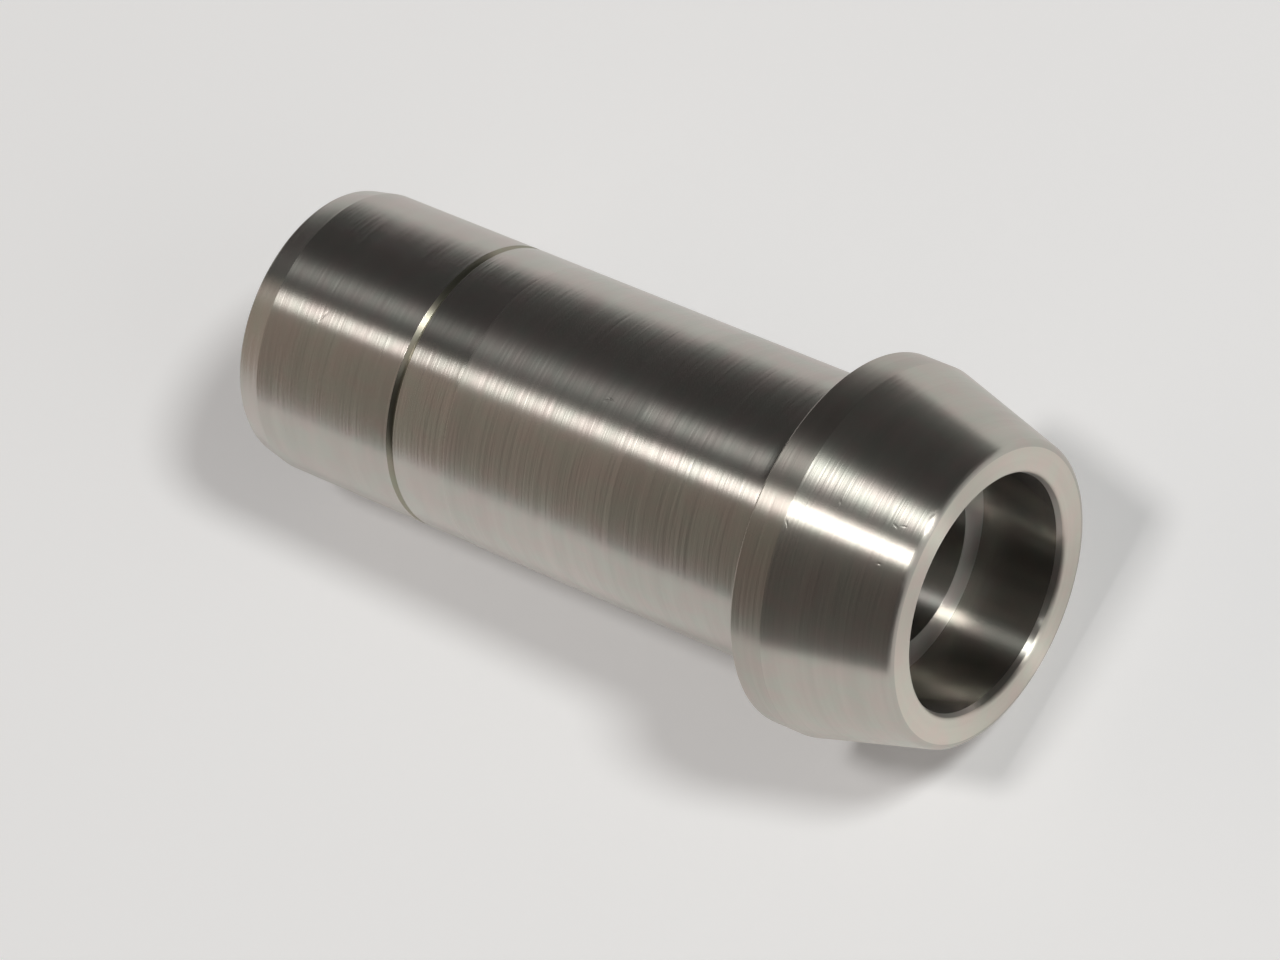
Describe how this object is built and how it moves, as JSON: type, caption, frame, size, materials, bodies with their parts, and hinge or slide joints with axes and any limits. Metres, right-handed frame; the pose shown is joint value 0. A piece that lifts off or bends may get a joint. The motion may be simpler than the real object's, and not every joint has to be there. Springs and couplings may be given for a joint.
{
  "type": "tube port connector",
  "caption": "Turned steel tube port connector: a plain tube stub with an insertion line, a collar, and a coned machined ferrule with a counterbored mouth.",
  "frame": {"origin": "centre of the tube stub's end face, on the axis of turning", "axes": "+Z along the axis of turning, from the stub's end to the nose face; the part is round, so X and Y are free"},
  "size_m": [0.0164, 0.0162, 0.0353],
  "materials": {
    "stainless": "fine turned, semi-bright"
  },
  "bodies": {
    "root": {"port_connector": "stainless"}
  },
  "joints": []
}
